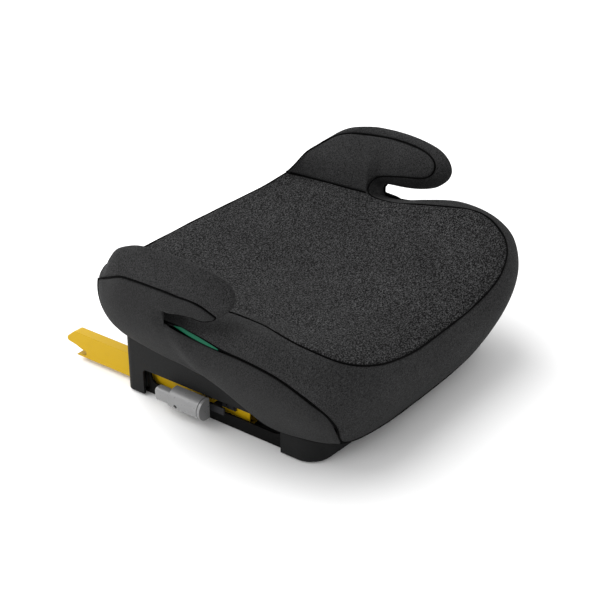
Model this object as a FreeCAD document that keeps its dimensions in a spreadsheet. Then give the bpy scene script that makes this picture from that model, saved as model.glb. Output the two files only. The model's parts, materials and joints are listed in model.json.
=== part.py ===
import FreeCAD, Part
import math
import os
from FreeCAD import Placement, Rotation, Vector

# A backless booster seat with two rigid anchor arms. +Z is up, -Y is the front, and the
# child's left is +X. The origin is below the middle of the object, on the floor.
# Left and right pieces are mirror twins: side is +1 for left and -1 for right.

SIZES = {
    # anchor arms: flat hollow steel bars on the standard spacing of the car's anchor points
    "arm_pitch": 280.0,
    "arm_width": 12.0,
    "arm_wall": 1.5,
    "arm_bottom": 5.0,
    "arm_top": 34.5,
    "arm_front": -62.0,
    "arm_rear": 202.0,
    "mouth_radius": 3.3,
    "mouth_rear": 176.5,
    "mouth_level": 10.6,
    # latch inside each arm
    "hook_pin_radius": 3.0,
    "hook_y": 166.0,
    "hook_z": 24.5,
    "hook_width": 5.0,
    "pawl_pin_radius": 2.5,
    "pawl_y": 140.0,
    "pawl_z": 22.0,
    "pawl_drop": 13.0,
    "pin_clearance": 0.05,
    # release handle outboard of each arm
    "handle_inner": 161.5,
    "handle_width": 17.0,
    "handle_height": 24.0,
    "handle_z": 21.0,
    "handle_rear": 22.0,
    "handle_front": -17.0,
    "plunger_width": 12.0,
    "plunger_height": 16.0,
    "plunger_rear": 44.0,
    "plunger_front": -6.0,
    # base housing and tray
    "housing_half": 160.0,
    "housing_front": -162.0,
    "housing_rear": 98.5,
    "housing_bottom": 2.0,
    "housing_top": 84.0,
    "housing_wall": 3.0,
    "tray_half": 153.0,
    "tray_bottom": 1.5,
    "tray_floor": 2.2,
    "arch_rear": 73.0,
    "arch_front": -112.0,
    "arch_top": 33.0,
    # shell, foam and fabric-covered parts
    "shell_gap": 0.3,
    "shell_thickness": 3.7,
    "seat_half": 162.7,
    "seat_front": -202.0,
    "seat_rear": 132.0,
    "seat_bottom": 90.0,
    "seat_middle": 120.0,
    "dish_radius": 580.0,
    "cover_inner": 163.3,
    "outer_half": 214.0,
    "arm_inner_face": 166.0,
    "armrest_bottom": 131.3,
    "armrest_top": 212.0,
    "core_inner": 168.5,
    "core_horn_inner": 191.0,
    "core_width": 9.0,
    "guide_inner": 198.0,
    "guide_width": 8.5,
}

doc = FreeCAD.newDocument("booster_seat")
sheet = doc.addObject("Spreadsheet::Sheet", "Sizes")
for row, (alias, value) in enumerate(SIZES.items(), start=1):
    sheet.set(f"A{row}", alias)
    sheet.set(f"B{row}", str(value))
    sheet.setAlias(f"B{row}", alias)
doc.recompute()
S = {alias: float(sheet.get(alias)) for alias in SIZES}

ARM_X = S["arm_pitch"] / 2
SIDES = {"left": 1, "right": -1}
parts = []


# ---------------------------------------------------------------- outlines and features

def rounded(points):
    """Closed outline of straight edges and corner arcs; a point is (u, v) or (u, v, radius)."""
    count = len(points)
    corners = [Vector(p[0], p[1], 0) for p in points]
    stops = []
    for i, point in enumerate(points):
        radius = point[2] if len(point) > 2 else 0.0
        if not radius:
            stops.append((corners[i], None, corners[i]))
            continue
        before = (corners[i - 1] - corners[i]).normalize()
        after = (corners[(i + 1) % count] - corners[i]).normalize()
        half = before.getAngle(after) / 2
        reach = radius / math.tan(half)
        inward = (before + after).normalize()
        crown = corners[i] + inward * (radius / math.sin(half) - radius)
        stops.append((corners[i] + before * reach, crown, corners[i] + after * reach))
    edges = []
    for i, (start, crown, end) in enumerate(stops):
        if crown:
            edges.append(Part.Arc(start, crown, end))
        following = stops[(i + 1) % count][0]
        if (following - end).Length > 1e-6:
            edges.append(Part.LineSegment(end, following))
    return edges


def circle(u, v, radius):
    return [Part.Circle(Vector(u, v, 0), Vector(0, 0, 1), radius)]


def rectangle(u0, v0, u1, v1, radius=0.0):
    return rounded([(u0, v0, radius), (u1, v0, radius), (u1, v1, radius), (u0, v1, radius)])


def body(label):
    made = doc.addObject("PartDesign::Body", label)
    made.Label = label
    parts.append(made)
    return made


def bind(feature, name, value):
    """Sets a size from a number, or from an expression on the sheet."""
    placement = name.removesuffix(".Base.z")
    if isinstance(value, str):
        feature.setExpression(name, value)
    elif placement != name:
        setattr(feature, placement, Placement(Vector(0, 0, value), Rotation()))
    else:
        setattr(feature, name, value)


def sketch(owner, role, outlines, level=0.0):
    """Closed outlines on one of the body's own origin planes, moved along its normal to level."""
    made = owner.newObject("Sketcher::SketchObject", owner.Label + "_sketch")
    plane = next(f for f in owner.Origin.OriginFeatures if f.Role == role)
    made.AttachmentSupport = [(plane, "")]
    made.MapMode = "FlatFace"
    bind(made, "AttachmentOffset.Base.z", level)
    for outline in outlines:
        for edge in outline:
            made.addGeometry(edge, False)
    return made


def pad(owner, role, outlines, level, length):
    """Adds material from level along the plane's normal."""
    made = owner.newObject("PartDesign::Pad", owner.Label + "_pad")
    made.Profile = sketch(owner, role, outlines, level)
    bind(made, "Length", length)
    return made


def cut(owner, role, outlines, level=0.0, length=None):
    """Removes material from level along the normal, or right through both ways."""
    doc.recompute()
    volume = owner.Shape.Volume
    made = owner.newObject("PartDesign::Pocket", owner.Label + "_pocket")
    made.Profile = sketch(owner, role, outlines, level)
    if length is None:
        made.SideType = "Symmetric"
        made.Type = "ThroughAll"
    else:
        made.Reversed = True
        bind(made, "Length", length)
    doc.recompute()
    if owner.Shape.Volume > volume - 1e-3:
        raise ValueError(f"a pocket in {owner.Label} removes nothing")
    return made


def across(side, inner, width):
    """Expression or number for where a piece of that width starts along X."""
    if side > 0:
        return inner
    if isinstance(inner, str) or isinstance(width, str):
        return f"-({inner}) - ({width})"
    return -inner - width


def plate(label, side, outlines, inner, width):
    """A plate with its outline in the YZ plane, from inner to inner + width off the middle."""
    made = body(label)
    pad(made, "YZ_Plane", outlines, across(side, inner, width), width)
    return made


def slot(owner, side, outlines, inner, width):
    """A pocket with its outline in the YZ plane, over that stretch of X."""
    return cut(owner, "YZ_Plane", outlines, across(side, inner, width), width)


def group(label, shapes):
    """Several separate solids of one kind, as one sub-part."""
    made = doc.addObject("Part::Compound", label)
    made.Label = label
    made.Links = shapes
    parts.append(made)
    return made


def rod_shape(name, radius, length, position, direction):
    """A round bar as a parametric cylinder; radius and length are numbers or expressions."""
    made = doc.addObject("Part::Cylinder", name)
    bind(made, "Radius", radius)
    bind(made, "Height", length)
    turn = Rotation(Vector(0, 0, 1), direction)
    made.Placement = Placement(position, turn)
    return made


def pin(label, radius, length, position, direction):
    made = rod_shape(label, radius, length, position, direction)
    made.Label = label
    parts.append(made)
    return made


def screw(name, head, shank, position, direction):
    """A pan-head screw: head and shank are (radius, length); position is the head's top."""
    cap = rod_shape(name + "_cap", head[0], head[1], position, direction)
    stem_start = position + direction * head[1]
    stem = rod_shape(name + "_stem", shank[0], shank[1], stem_start, direction)
    made = doc.addObject("Part::Fuse", name)
    made.Base, made.Tool = cap, stem
    return made


# ---------------------------------------------------------------- base housing and tray

BOSSES = [(x, y) for x in (-108, 0, 108) for y in (-132, 66)]
BOSS_RADIUS, SCREW_RADIUS, SCREW_LENGTH = 5.0, 2.0, 13.0
SCREW_FIT = 0.02
WINDOW_HALF, WINDOW_TOP = 7.0, 36.5


def plan_outline(half, front, rear, bulge, front_radius, rear_radius):
    """Outline in plan: straight sides, a front that bulges forward and rounded corners."""
    edge = front + bulge
    left = rounded([(-half, rear, rear_radius), (-half, edge, front_radius),
                    (half, edge, front_radius), (half, rear, rear_radius)])
    if not bulge:
        return left
    kept = []
    for piece in left:
        low = max(piece.StartPoint.y, piece.EndPoint.y) < edge + 1e-6
        if isinstance(piece, Part.LineSegment) and low:
            piece = Part.Arc(piece.StartPoint, Vector(0, front, 0), piece.EndPoint)
        kept.append(piece)
    return kept


def base_housing():
    half, wall = S["housing_half"], S["housing_wall"]
    front, rear = S["housing_front"], S["housing_rear"]
    top, bottom = S["housing_top"], S["housing_bottom"]
    made = body("base_housing")
    pad(made, "XY_Plane", [plan_outline(half, front, rear, 5.0, 24.0, 9.0)],
        "Sizes.housing_bottom", "Sizes.housing_top - Sizes.housing_bottom")
    inner = plan_outline(half - wall, front + wall, rear - wall, 5.0, 21.0, 6.0)
    cut(made, "XY_Plane", [inner], bottom - 1, top - wall - bottom + 1)
    arch = [(S["arch_rear"], -1), (S["arch_rear"], S["arch_top"], 5.0),
            (S["arch_front"], S["arch_top"], 8.0), (S["arch_front"], -1)]
    cut(made, "YZ_Plane", [rounded(arch)])
    windows = [rectangle(s * ARM_X - WINDOW_HALF, -1, s * ARM_X + WINDOW_HALF, WINDOW_TOP)
               for s in SIDES.values()]
    cut(made, "XZ_Plane", windows, -rear - 1, wall + 2)
    tray_top = S["tray_bottom"] + S["tray_floor"]
    boss_bottom = tray_top + 0.2
    outlines = [circle(x, y, BOSS_RADIUS) for x, y in BOSSES]
    pad(made, "XY_Plane", outlines, boss_bottom, top - wall - boss_bottom + 0.5)
    bores = [circle(x, y, SCREW_RADIUS + SCREW_FIT) for x, y in BOSSES]
    cut(made, "XY_Plane", bores, boss_bottom - 1, SCREW_LENGTH + 3)


TRAY_FRONT, TRAY_REAR = -158.5, 88.0
SCREW_HEAD = (4.0, 1.0)


def base_tray():
    half = S["tray_half"]
    bottom, floor = S["tray_bottom"], S["tray_floor"]
    made = body("base_tray")
    plan = plan_outline(half, TRAY_FRONT, TRAY_REAR, 5.0, 20.0, 4.0)
    pad(made, "XY_Plane", [plan], "Sizes.tray_bottom", "Sizes.tray_floor")
    wall = rounded([(-130, bottom), (71, bottom), (72, 29), (70, 29), (66, 16, 9.0),
                    (46, 12, 20.0), (10, 12.5, 30.0), (-20, 15.5, 20.0), (-100, 15.5, 12.0),
                    (-118, 22, 12.0), (-130, 22)])
    for start in (half - floor, -half):
        pad(made, "YZ_Plane", [wall], start, floor)
    bores = [circle(x, y, SCREW_RADIUS + 0.3) for x, y in BOSSES]
    cut(made, "XY_Plane", bores)
    recesses = [circle(x, y, SCREW_HEAD[0] + 0.3) for x, y in BOSSES]
    cut(made, "XY_Plane", recesses, bottom - 1, 1 + SCREW_HEAD[1] + 0.1)


def base_screws():
    start = S["tray_bottom"] + 0.1
    shapes = [screw(f"base_screw_{i}", SCREW_HEAD, (SCREW_RADIUS, SCREW_LENGTH),
                    Vector(x, y, start), Vector(0, 0, 1)) for i, (x, y) in enumerate(BOSSES)]
    group("base_screws", shapes)


def anti_slip_pads():
    """Soft strips under the tray: one across the front, and two at the rear corners."""
    made = body("anti_slip_pad_front")
    front = rounded([(-148, -94, 4.0), (-148, -138, 12.0), (-120, -154, 20.0),
                     (120, -154, 20.0), (148, -138, 12.0), (148, -94, 4.0)])
    pad(made, "XY_Plane", [front], 0.0, "Sizes.tray_bottom")
    made = body("anti_slip_pad_rear")
    rear = rectangle(-100, 74, 100, 85, 4.0)
    pad(made, "XY_Plane", [rear], 0.0, "Sizes.tray_bottom")


RAIL_INNER, RAIL_FLOOR = 128.0, 1.0


def guides(name, side):
    """What each arm slides in: a window block at the rear, a rail, and a rubber end buffer."""
    floor = S["tray_bottom"] + S["tray_floor"]
    width = ARM_X - S["arm_width"] / 2 - 0.3 - RAIL_INNER
    play = 0.3
    rail = plate(f"guide_rail_{name}", side, [rectangle(-150, floor, 70, 20)],
                 RAIL_INNER, width)
    base = rectangle(-127, floor, 70, floor + RAIL_FLOOR)
    reach = S["tray_half"] - S["tray_floor"] - 0.3 - RAIL_INNER - width
    pad(rail, "YZ_Plane", [base], across(side, RAIL_INNER + width - 0.1, reach), reach)
    block = plate(f"guide_block_{name}", side, [rectangle(76, floor, 87.5, 40)],
                  ARM_X - 10.0, 20.0)
    half = S["arm_width"] / 2 + play
    window = rectangle(side * ARM_X - half, S["arm_bottom"] - play,
                       side * ARM_X + half, S["arm_top"] + play)
    cut(block, "XZ_Plane", [window], -88.5, 13.5)
    plate(f"stop_buffer_{name}", side, [rectangle(-136, floor, -128.6, 20, 1.5)],
          ARM_X - 6.0, 12.0)


# ---------------------------------------------------------------- anchor arm and its latch

def isofix_arm(name, side):
    """Flat hollow bar; its rear end has a rounded nose over an open mouth for the anchor wire.

    The mouth's floor is solid right across, so that the wire rests on the bar's full width.
    """
    low, high = S["arm_bottom"], S["arm_top"]
    front, rear = S["arm_front"], S["arm_rear"]
    radius, root, level = S["mouth_radius"], S["mouth_rear"], S["mouth_level"]
    half, wall = S["arm_width"] / 2, S["arm_wall"]
    under, over = level - radius, level + radius
    outline = [(front, low, 1.0), (front, high, 1.0), (rear - 12, high, 9.0),
               (rear, high - 10, 5.0), (rear, high - 15, 3.0), (rear - 12, over + 3.6, 3.0),
               (root + 2, over), (root - radius, over, radius - 0.01),
               (root - radius, under, radius - 0.01), (root + 2, under),
               (rear - 14, low + 1.1), (rear - 14, low)]
    made = plate(f"isofix_arm_{name}", side, [rounded(outline)],
                 "Sizes.arm_pitch / 2 - Sizes.arm_width / 2", "Sizes.arm_width")
    saddle = level - 0.6 * radius
    hollow = [(front - 1, low + wall), (front - 1, high - wall), (rear - 13, high - wall, 8.0),
              (rear - wall, high - 11.5, 4.0), (rear - wall, high - 15, 2.0),
              (rear - 12.5, over + 2.5), (rear - 12.5, saddle),
              (root - radius - wall, saddle), (root - radius - wall, low + wall)]
    slot(made, side, [rounded(hollow)], ARM_X - half + wall, 2 * half - 2 * wall)
    bores = [circle(S["hook_y"], S["hook_z"], S["hook_pin_radius"] + SCREW_FIT),
             circle(S["pawl_y"], S["pawl_z"], S["pawl_pin_radius"] + SCREW_FIT)]
    slot(made, side, bores, ARM_X - half - 1, 2 * half + 2)
    slot(made, side, [rectangle(-11.6, 19.5, 0.6, 24.5, 1.0)], ARM_X + half - wall - 1, wall + 2)
    slot(made, side, [circle(STOP_Y, STOP_Z, STOP_RADIUS + SCREW_FIT)],
         ARM_X - half - 1, wall + 2)
    screws = [circle(y, BRACKET_Z, BRACKET_SCREW[0] + SCREW_FIT) for y in BRACKET_SCREWS_Y]
    slot(made, side, screws, ARM_X + half - wall - 1, wall + 2)


STOP_Y, STOP_Z, STOP_RADIUS = 73.4, 26.0, 2.0


def arm_pins(name, side):
    half = S["arm_width"] / 2
    outward = Vector(1, 0, 0)
    start = side * ARM_X - half
    pin(f"hook_pin_{name}", "Sizes.hook_pin_radius", "Sizes.arm_width",
        Vector(start, S["hook_y"], S["hook_z"]), outward)
    pin(f"pawl_pin_{name}", "Sizes.pawl_pin_radius", "Sizes.arm_width",
        Vector(start, S["pawl_y"], S["pawl_z"]), outward)
    inner = ARM_X - half - 5.5
    pin(f"stop_pin_{name}", STOP_RADIUS, 7.0,
        Vector(side * inner, STOP_Y, STOP_Z), Vector(side, 0, 0))


def latch_hook(name, side):
    """Claw that shuts over the anchor wire: the heel waits just above it, the beak behind it."""
    y, z = S["hook_y"], S["hook_z"]
    outline = [(-5.8, -4.0, 3.0), (-5.8, 3.8, 3.0), (1.0, 7.0, 2.0), (20.0, 7.4, 3.0),
               (25.6, 4.4, 1.2), (23.6, 1.0, 0.6), (21.0, 0.6), (21.0, 3.6, 1.2),
               (17.2, 4.0, 2.4), (13.0, 2.6, 2.4), (12.6, -2.6, 1.6), (14.6, -5.4, 0.4),
               (12.6, -10.2, 1.0), (8.8, -10.2, 1.0), (4.6, -7.4, 3.0), (-1.0, -6.0, 3.0)]
    moved = [(p[0] + y, p[1] + z, *p[2:]) for p in outline]
    made = plate(f"latch_hook_{name}", side, [rounded(moved)],
                 ARM_X - S["hook_width"] / 2, "Sizes.hook_width")
    bore = circle(y, z, S["hook_pin_radius"] + S["pin_clearance"])
    slot(made, side, [bore], ARM_X - S["hook_width"], 2 * S["hook_width"])


PEG_RADIUS, ROD_THICKNESS = 1.2, 2.0


def latch_pawl(name, side):
    """Bell crank: the release rod pulls its lower arm, which dips the tip off the hook."""
    y, z, drop = S["pawl_y"], S["pawl_z"], S["pawl_drop"]
    outline = [(-5, 5, 3.0), (2, 5.4, 3.0), (17.5, 3.6, 1.0), (18.4, -0.6, 1.0),
               (8, -2.6, 4.0), (3.2, -6, 3.0), (2.2, -drop - 2.2, 2.0),
               (-2.2, -drop - 2.2, 2.0), (-4, -5, 3.0)]
    moved = [(p[0] + y, p[1] + z, *p[2:]) for p in outline]
    made = plate(f"latch_pawl_{name}", side, [rounded(moved)], ARM_X + 0.2, 3.4)
    bore = circle(y, z, S["pawl_pin_radius"] + S["pin_clearance"])
    slot(made, side, [bore], ARM_X - 1, 6.0)
    start, width = ARM_X - 2.4, 2.7
    pad(made, "YZ_Plane", [circle(y, z - drop, PEG_RADIUS)], across(side, start, width), width)


def release_rod(name, side):
    """Flat bar from the plunger's link back to the pawl, with an upright tab at its front."""
    y, peg_z = S["pawl_y"], S["pawl_z"] - S["pawl_drop"]
    outline = rounded([(-6, peg_z - 2.0, 1.0), (y + 4.5, peg_z - 2.0, 1.0),
                       (y + 4.5, peg_z + 3.5, 1.0), (0, peg_z + 3.5, 2.0),
                       (0, 24, 0.5), (-6, 24, 0.5)])
    made = plate(f"release_rod_{name}", side, [outline], ARM_X - 2.2, ROD_THICKNESS)
    eye = rectangle(y - PEG_RADIUS - 0.3, peg_z - 1.5, y + PEG_RADIUS + 0.3, peg_z + 2.6, 0.3)
    slot(made, side, [eye], ARM_X - 4, 6.0)


# ---------------------------------------------------------------- release handle

BRACKET_Z, BRACKET_SCREW, BRACKET_SCREWS_Y = 22.5, (1.5, 2.6), (-41.0, -31.0)


def handle_section(side, inner, width, height):
    """D-shaped section in the XZ plane: flat towards the arm, round outwards."""
    z = S["handle_z"]
    radius = height / 2
    flat = inner + width - radius
    top, bottom = Vector(side * flat, z + radius, 0), Vector(side * flat, z - radius, 0)
    corner = 1.5
    edges = [Part.Arc(top, Vector(side * (inner + width), z, 0), bottom)]
    low = Vector(side * (inner + corner), z - radius, 0)
    low_side = Vector(side * inner, z - radius + corner, 0)
    high = Vector(side * (inner + corner), z + radius, 0)
    high_side = Vector(side * inner, z + radius - corner, 0)
    bend = corner * (1 - math.sqrt(0.5))
    if (bottom - low).Length > 1e-6:
        edges.append(Part.LineSegment(bottom, low))
    edges.append(Part.Arc(low, Vector(side * (inner + bend), z - radius + bend, 0), low_side))
    edges.append(Part.LineSegment(low_side, high_side))
    edges.append(Part.Arc(high_side, Vector(side * (inner + bend), z + radius - bend, 0), high))
    if (high - top).Length > 1e-6:
        edges.append(Part.LineSegment(high, top))
    return edges


def plunger_section(side, grow):
    z, inner = S["handle_z"], S["handle_inner"] + 2.0
    low, high = inner - grow, inner + S["plunger_width"] + grow
    half = S["plunger_height"] / 2 + grow
    ends = sorted((side * low, side * high))
    return rectangle(ends[0], z - half, ends[1], z + half, 4.5)


def release_handle(name, side):
    """Hollow D-section barrel, its end cap, and the plunger that slides into its rear end."""
    inner, z = S["handle_inner"], S["handle_z"]
    front, rear = S["handle_front"], S["handle_rear"]
    barrel = body(f"handle_barrel_{name}")
    whole = handle_section(side, inner, S["handle_width"], S["handle_height"])
    pad(barrel, "XZ_Plane", [whole], "-Sizes.handle_rear", "Sizes.handle_rear - Sizes.handle_front")
    cut(barrel, "XZ_Plane", [plunger_section(side, 0.3)], -rear - 1, rear + 14 + 1)
    slot(barrel, side, [rectangle(-11.6, 19.5, 0.6, 24.5, 1.0)], inner - 1, 4.0)
    slot(barrel, side, [circle(12.0, 17.8, 2.3)], inner + S["handle_width"] - 5, 6.0)
    neck = handle_section(side, inner + 0.9, S["handle_width"] - 1.8, S["handle_height"] - 1.8)
    pad(barrel, "XZ_Plane", [neck], -front - 0.1, 0.8)
    cap = body(f"handle_cap_{name}")
    pad(cap, "XZ_Plane", [whole], -front + 0.75, 3.4)
    plunger = body(f"release_button_{name}")
    pad(plunger, "XZ_Plane", [plunger_section(side, 0.0)],
        "-Sizes.plunger_rear", "Sizes.plunger_rear - Sizes.plunger_front")
    middle = side * (inner + 2.0 + S["plunger_width"] / 2)
    cut(plunger, "XZ_Plane", [circle(middle, z, 3.7)], -14.5, 14.5 + 8)
    round_end(plunger, S["plunger_rear"])
    spring(f"button_spring_{name}", middle, z)
    link = body(f"release_link_{name}")
    ends = sorted((side * (ARM_X - 0.2), side * (inner + 2.0)))
    pad(link, "XY_Plane", [rectangle(ends[0], -6, ends[1], 0)], 20.0, 4.0)


def round_end(owner, level):
    """Rounds the edges of the end face at that level."""
    doc.recompute()
    shape = owner.Shape
    names = [f"Edge{i}" for i, edge in enumerate(shape.Edges, start=1)
             if all(abs(v.Y - level) < 1e-6 for v in edge.Vertexes)]
    base = owner.Tip
    made = owner.newObject("PartDesign::Fillet", owner.Label + "_round")
    made.Base = (base, names)
    made.Radius = 4.0


def spring(label, x, z):
    """Compression spring of round wire along Y, seated on the barrel's blind end."""
    wire, coil, pitch, length, seat = 0.45, 2.9, 2.4, 20.4, -13.4
    helix = Part.makeHelix(pitch, length, coil)
    section = Part.Wire(Part.makeCircle(wire, Vector(coil, 0, 0), Vector(0, 1, 0)))
    solid = Part.Wire(helix).makePipeShell([section], True, True)
    made = doc.addObject("Part::Feature", label)
    made.Shape = solid
    made.Placement = Placement(Vector(x, seat, z), Rotation(Vector(1, 0, 0), -90))
    made.Label = label
    parts.append(made)


def handle_bracket(name, side):
    """Pressed plate that ties the handle to the arm through the arch slot."""
    arm_face = ARM_X + S["arm_width"] / 2
    outer = S["handle_inner"]
    corners = [(arm_face, -45), (arm_face + 2.4, -45), (arm_face + 2.4, -27, 1.0),
               (outer - 2.6, -27, 1.0), (outer - 2.6, -40), (outer - 0.05, -40, 1.5),
               (outer - 0.05, -13), (outer - 2.6, -13), (outer - 2.6, -24.4, 1.0),
               (arm_face, -24.4)]
    outline = rounded([(side * c[0], c[1], *c[2:]) for c in corners])
    made = body(f"handle_bracket_{name}")
    pad(made, "XY_Plane", [outline], 18.5, 8.0)
    radius, length = BRACKET_SCREW
    bores = [circle(y, BRACKET_Z, radius + SCREW_FIT) for y in BRACKET_SCREWS_Y]
    slot(made, side, bores, arm_face - 1, 4.0)
    inward = Vector(-side, 0, 0)
    shapes = [screw(f"bracket_screw_{name}_{i}", (2.8, 1.4), (radius, length + 1.5),
                    Vector(side * (arm_face + 2.4 + 1.4), y, BRACKET_Z), inward)
              for i, y in enumerate(BRACKET_SCREWS_Y)]
    group(f"bracket_screws_{name}", shapes)


# ---------------------------------------------------------------- shell, foam and covered parts

WING_HALF, WING_FRONT, WING_REAR = 177.2, 18.0, 83.0
FOAM_PLAY = 0.4


def core_foot(play=0.0):
    """Outline of the armrest core's upright, grown by play for the pocket around it."""
    return rectangle(24 - play, 88.4 - play, 80 + play, 160 + play)


def core_shelf(play=0.0):
    """Outline of the shelf that carries the blade outboard of the upright."""
    return rectangle(28 - play, 152 - play, 62 + play, 160 + play)


def core_horn(play=0.0):
    """Outline of the armrest core's blade, grown by play for the pocket around it."""
    return rounded([(22 - play, 160 - play), (28 - play, 152 - play), (62 + play, 152 - play),
                    (60 + play, 176, 12.0), (40, 183 + play, 20.0), (-12, 187 + play, 20.0),
                    (-52, 186 + play, 9.0), (-67 - play, 180, 5.0),
                    (-62 - play, 166 - play, 6.0), (-44, 160 - play, 6.0)])


def core_reach():
    """Width from the upright's inner face to the blade's outer face."""
    return S["core_horn_inner"] + S["core_width"] - S["core_inner"]


def seat_shell():
    """Stiff pan on top of the housing; a wing on each side carries an armrest core."""
    made = body("seat_shell")
    plan = [(-158, 118, 20.0), (-158, WING_REAR), (-WING_HALF, WING_REAR, 4.0),
            (-WING_HALF, WING_FRONT, 4.0), (-158, WING_FRONT), (-158, -156, 22.0),
            (158, -156, 22.0), (158, WING_FRONT), (WING_HALF, WING_FRONT, 4.0),
            (WING_HALF, WING_REAR, 4.0), (158, WING_REAR), (158, 118, 20.0)]
    pad(made, "XY_Plane", [rounded(plan)], "Sizes.housing_top + Sizes.shell_gap",
        "Sizes.shell_thickness")
    bores = [circle(side * x, y, SCREW_RADIUS + SCREW_FIT)
             for side in SIDES.values() for x, y in core_screw_places()]
    cut(made, "XY_Plane", bores)


def core_screw_places():
    middle = S["core_inner"] + S["core_width"] / 2
    return [(middle, y) for y in (36.0, 66.0)]


def armrest_core(name, side):
    """Stiff core of each armrest: an upright on the shell's wing, a shelf and the horn's blade."""
    made = plate(f"armrest_core_{name}", side, [core_foot()],
                 "Sizes.core_inner", "Sizes.core_width")
    pad(made, "YZ_Plane", [core_shelf()], across(side, S["core_inner"], core_reach()), core_reach())
    pad(made, "YZ_Plane", [core_horn()],
        across(side, "Sizes.core_horn_inner", "Sizes.core_width"), "Sizes.core_width")
    bores = [circle(side * x, y, SCREW_RADIUS + SCREW_FIT) for x, y in core_screw_places()]
    cut(made, "XY_Plane", bores, 87.0, 14.0)
    top = S["housing_top"] - 1.2
    shapes = [screw(f"core_screw_{name}_{i}", (3.6, 1.4), (SCREW_RADIUS, 14.0),
                    Vector(side * x, y, top), Vector(0, 0, 1))
              for i, (x, y) in enumerate(core_screw_places())]
    group(f"core_screws_{name}", shapes)


def seat_cushion():
    """Dished foam pad: its sides rise to the armrests and its front rolls down."""
    made = body("seat_cushion")
    half, front, rear = S["seat_half"], S["seat_front"], S["seat_rear"]
    middle, dish = S["seat_middle"], S["dish_radius"]
    plan = [(-half, 112, 12.0), (-half, front + 22, 34.0), (-100, front + 1.5, 120.0),
            (100, front + 1.5, 120.0), (half, front + 22, 34.0), (half, 112, 12.0),
            (80, rear, 60.0), (-80, rear, 60.0)]
    pad(made, "XY_Plane", [rounded(plan)], "Sizes.seat_bottom", 56.0)
    reach = half + 20
    height = middle + dish - math.sqrt(dish ** 2 - reach ** 2)
    above = [Part.Arc(Vector(-reach, height, 0), Vector(0, middle, 0), Vector(reach, height, 0)),
             Part.LineSegment(Vector(reach, height, 0), Vector(reach, 200, 0)),
             Part.LineSegment(Vector(reach, 200, 0), Vector(-reach, 200, 0)),
             Part.LineSegment(Vector(-reach, 200, 0), Vector(-reach, height, 0))]
    cut(made, "XZ_Plane", [above])
    start, end = Vector(-120, 152, 0), Vector(front - 1, 97, 0)
    roll = [Part.Arc(start, Vector(-168, 132, 0), end),
            Part.LineSegment(end, Vector(front - 20, 97, 0)),
            Part.LineSegment(Vector(front - 20, 97, 0), Vector(front - 20, 200, 0)),
            Part.LineSegment(Vector(front - 20, 200, 0), Vector(-120, 200, 0)),
            Part.LineSegment(Vector(-120, 200, 0), start)]
    cut(made, "YZ_Plane", [roll])


def front_bolster():
    """Front apron of the cover over its foam, from the seat's front edge down to the hem."""
    made = body("front_bolster")
    front, top = S["seat_front"], S["seat_bottom"] - 0.4
    back = S["housing_front"] - 0.5
    profile = [(back, 34), (back - 20, 24, 3.0), (front + 11, 27, 4.0), (front + 2.5, 62, 60.0),
               (front, top), (back, top)]
    half = S["cover_inner"] - 0.3
    pad(made, "YZ_Plane", [rounded(profile)], -half, 2 * half)
    ends = Vector(-half - 5, front + 8.5, 0), Vector(half + 5, front + 8.5, 0)
    away = front - 20
    outside = [Part.Arc(ends[0], Vector(0, front, 0), ends[1]),
               Part.LineSegment(ends[1], Vector(ends[1].x, away, 0)),
               Part.LineSegment(Vector(ends[1].x, away, 0), Vector(ends[0].x, away, 0)),
               Part.LineSegment(Vector(ends[0].x, away, 0), ends[0])]
    cut(made, "XY_Plane", [outside])


# Stations of the side bolster from rear to front: y, hem level, hem x, widest x, its level,
# outer top level, inner top level.
BOLSTER = [
    (97.5, 82, 180, 196, 118, 131, 131),
    (60, 71, 170, 206, 121, 131, 131),
    (6, 65, 168, 210, 122, 131, 131),
    (4, 64, 168, 210, 122, 130, 140),
    (-45, 57, 168, 208, 121, 129, 145),
    (-87, 37.5, 168, 206, 119, 129, 148),
    (-125, 33, 168, 205, 116, 128, 149),
    (-150, 35, 167, 202, 106, 122, 145),
    (-170, 35, 166, 195, 96, 112, 136),
    (-190, 38, 164.5, 174, 84, 104, 116),
]


def side_bolster(name, side):
    """Foam and cover of one side, lofted over its stations, with room for the shell's wing."""
    made = body(f"side_bolster_{name}")
    inner = S["cover_inner"]
    sections = []
    for y, hem, hem_x, wide, level, outer_top, inner_top in BOLSTER:
        corners = [(inner, hem), (hem_x, hem), (wide, level), (wide - 1.5, outer_top),
                   (inner + (wide - inner) * 0.25, inner_top), (inner, inner_top)]
        outline = rounded([(side * x, z) for x, z in corners])
        sections.append(sketch(made, "XZ_Plane", [outline], -y))
    loft = made.newObject("PartDesign::AdditiveLoft", made.Label + "_loft")
    loft.Profile = sections[0]
    loft.Sections = sections[1:]
    loft.Ruled = True
    play = FOAM_PLAY
    wing = rectangle(WING_FRONT - play, S["housing_top"] - 2.0, WING_REAR + play, 88.0 + play)
    slot(made, side, [wing], inner - 5, WING_HALF + play - inner + 5)
    slot(made, side, [core_foot(play)], S["core_inner"] - play, S["core_width"] + 2 * play)
    ledge = rounded([(0, 160), (0, 139), (-14, 135.4), (-30, 130.4), (-50, 127.4),
                     (-74, 126.4), (-74, 160)])
    slot(made, side, [ledge], S["guide_inner"] - 0.3, 20.0)


def belt_guide(name, side):
    """Slim curved insert that lines the outer edge of the belt slot."""
    outline = [(-1, 139.4), (-14, 135.8), (-30, 130.8), (-50, 127.8), (-72, 126.8),
               (-68, 129.2), (-50, 132.6), (-33, 136.4), (-19, 141.4), (-4, 144.6)]
    plate(f"belt_guide_{name}", side, [rounded(outline)], "Sizes.guide_inner",
          "Sizes.guide_width")


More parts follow.
